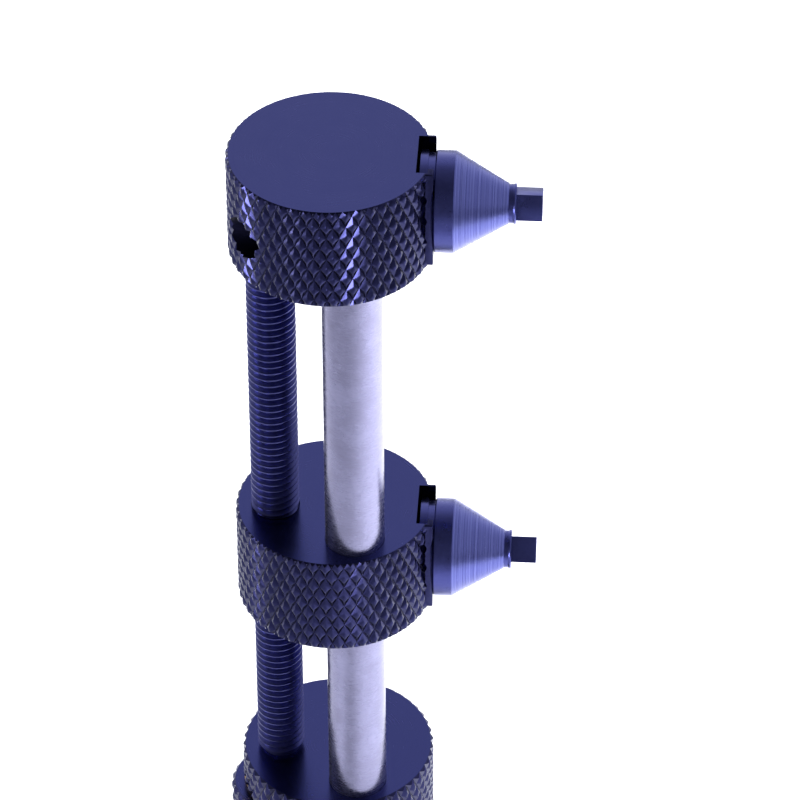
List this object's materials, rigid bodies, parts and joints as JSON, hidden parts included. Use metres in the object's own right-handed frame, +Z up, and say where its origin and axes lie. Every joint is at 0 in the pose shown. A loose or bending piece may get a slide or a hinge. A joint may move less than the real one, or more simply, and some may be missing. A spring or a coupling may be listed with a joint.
{
  "type": "adjustable case-back wrench",
  "caption": "Slim watch case-back wrench: knurled heads on a guide rod and a lead screw, each holding a sideways cone bit with a square tip, set by a wheel in the end block.",
  "frame": {"origin": "centre of the end block's flat foot", "axes": "+Z up along the two rods, +X along the bits, from the heads' axis to the bits' square tips"},
  "size_m": [0.032, 0.0202, 0.0924],
  "materials": {
    "black_oxide_knurl": "black-oxidised turned steel, diamond knurl round the rim",
    "black_oxide_turned": "black-oxidised turned steel with fine turning lines",
    "black_oxide_thread": "black-oxidised rolled thread",
    "black_oxide_screw": "black-oxidised socket set screw",
    "ground_steel": "bare centreless-ground steel, satin",
    "bearing_steel": "polished bearing steel",
    "spring_steel": "drawn spring wire",
    "brass_washer": "flat rolled brass"
  },
  "bodies": {
    "frame": {"fixed_head": "black_oxide_knurl", "end_block": "black_oxide_knurl", "guide_rod": "ground_steel", "head_grub_screw": "black_oxide_screw", "end_block_grub_screw": "black_oxide_screw", "lower_thrust_washer": "brass_washer", "upper_thrust_washer": "brass_washer", "fixed_bit_detent_spring": "spring_steel"},
    "screw": {"lead_screw": "black_oxide_thread", "adjusting_wheel": "black_oxide_knurl", "wheel_grub_screw": "black_oxide_screw"},
    "slider": {"sliding_head": "black_oxide_knurl", "sliding_bit_detent_spring": "spring_steel"},
    "fixed_bit_body": {"fixed_bit": "black_oxide_turned"},
    "sliding_bit_body": {"sliding_bit": "black_oxide_turned"},
    "fixed_ball_body": {"fixed_bit_detent_ball": "bearing_steel"},
    "sliding_ball_body": {"sliding_bit_detent_ball": "bearing_steel"}
  },
  "joints": [
    {"name": "screw_turn", "type": "hinge", "parent": "frame", "child": "screw", "pos_m": [-0.006, -0.0006, 0], "axis": [0, 0, 1], "range_deg": [-10090, 9685]},
    {"name": "head_travel", "type": "slide", "parent": "frame", "child": "slider", "axis": [0, 0, 1], "range_m": [-0.0215, 0.0224]},
    {"name": "fixed_bit_lift", "type": "slide", "parent": "frame", "child": "fixed_bit_body", "axis": [0, 0, 1], "range_m": [0, 0.0107]},
    {"name": "sliding_bit_lift", "type": "slide", "parent": "slider", "child": "sliding_bit_body", "axis": [0, 0, 1], "range_m": [0, 0.0107]},
    {"name": "fixed_ball_press", "type": "slide", "parent": "frame", "child": "fixed_ball_body", "axis": [1, 0, 0], "range_m": [-0.0004, 0], "stiffness_N_per_m": 100, "springref_m": 0.002, "deforming": ["fixed_bit_detent_spring"]},
    {"name": "sliding_ball_press", "type": "slide", "parent": "slider", "child": "sliding_ball_body", "axis": [1, 0, 0], "range_m": [-0.0004, 0], "stiffness_N_per_m": 100, "springref_m": 0.002, "deforming": ["sliding_bit_detent_spring"]}
  ],
  "couplings": [
    {"joint": "screw_turn", "follows": "head_travel", "rad_per_m": -7854}
  ]
}
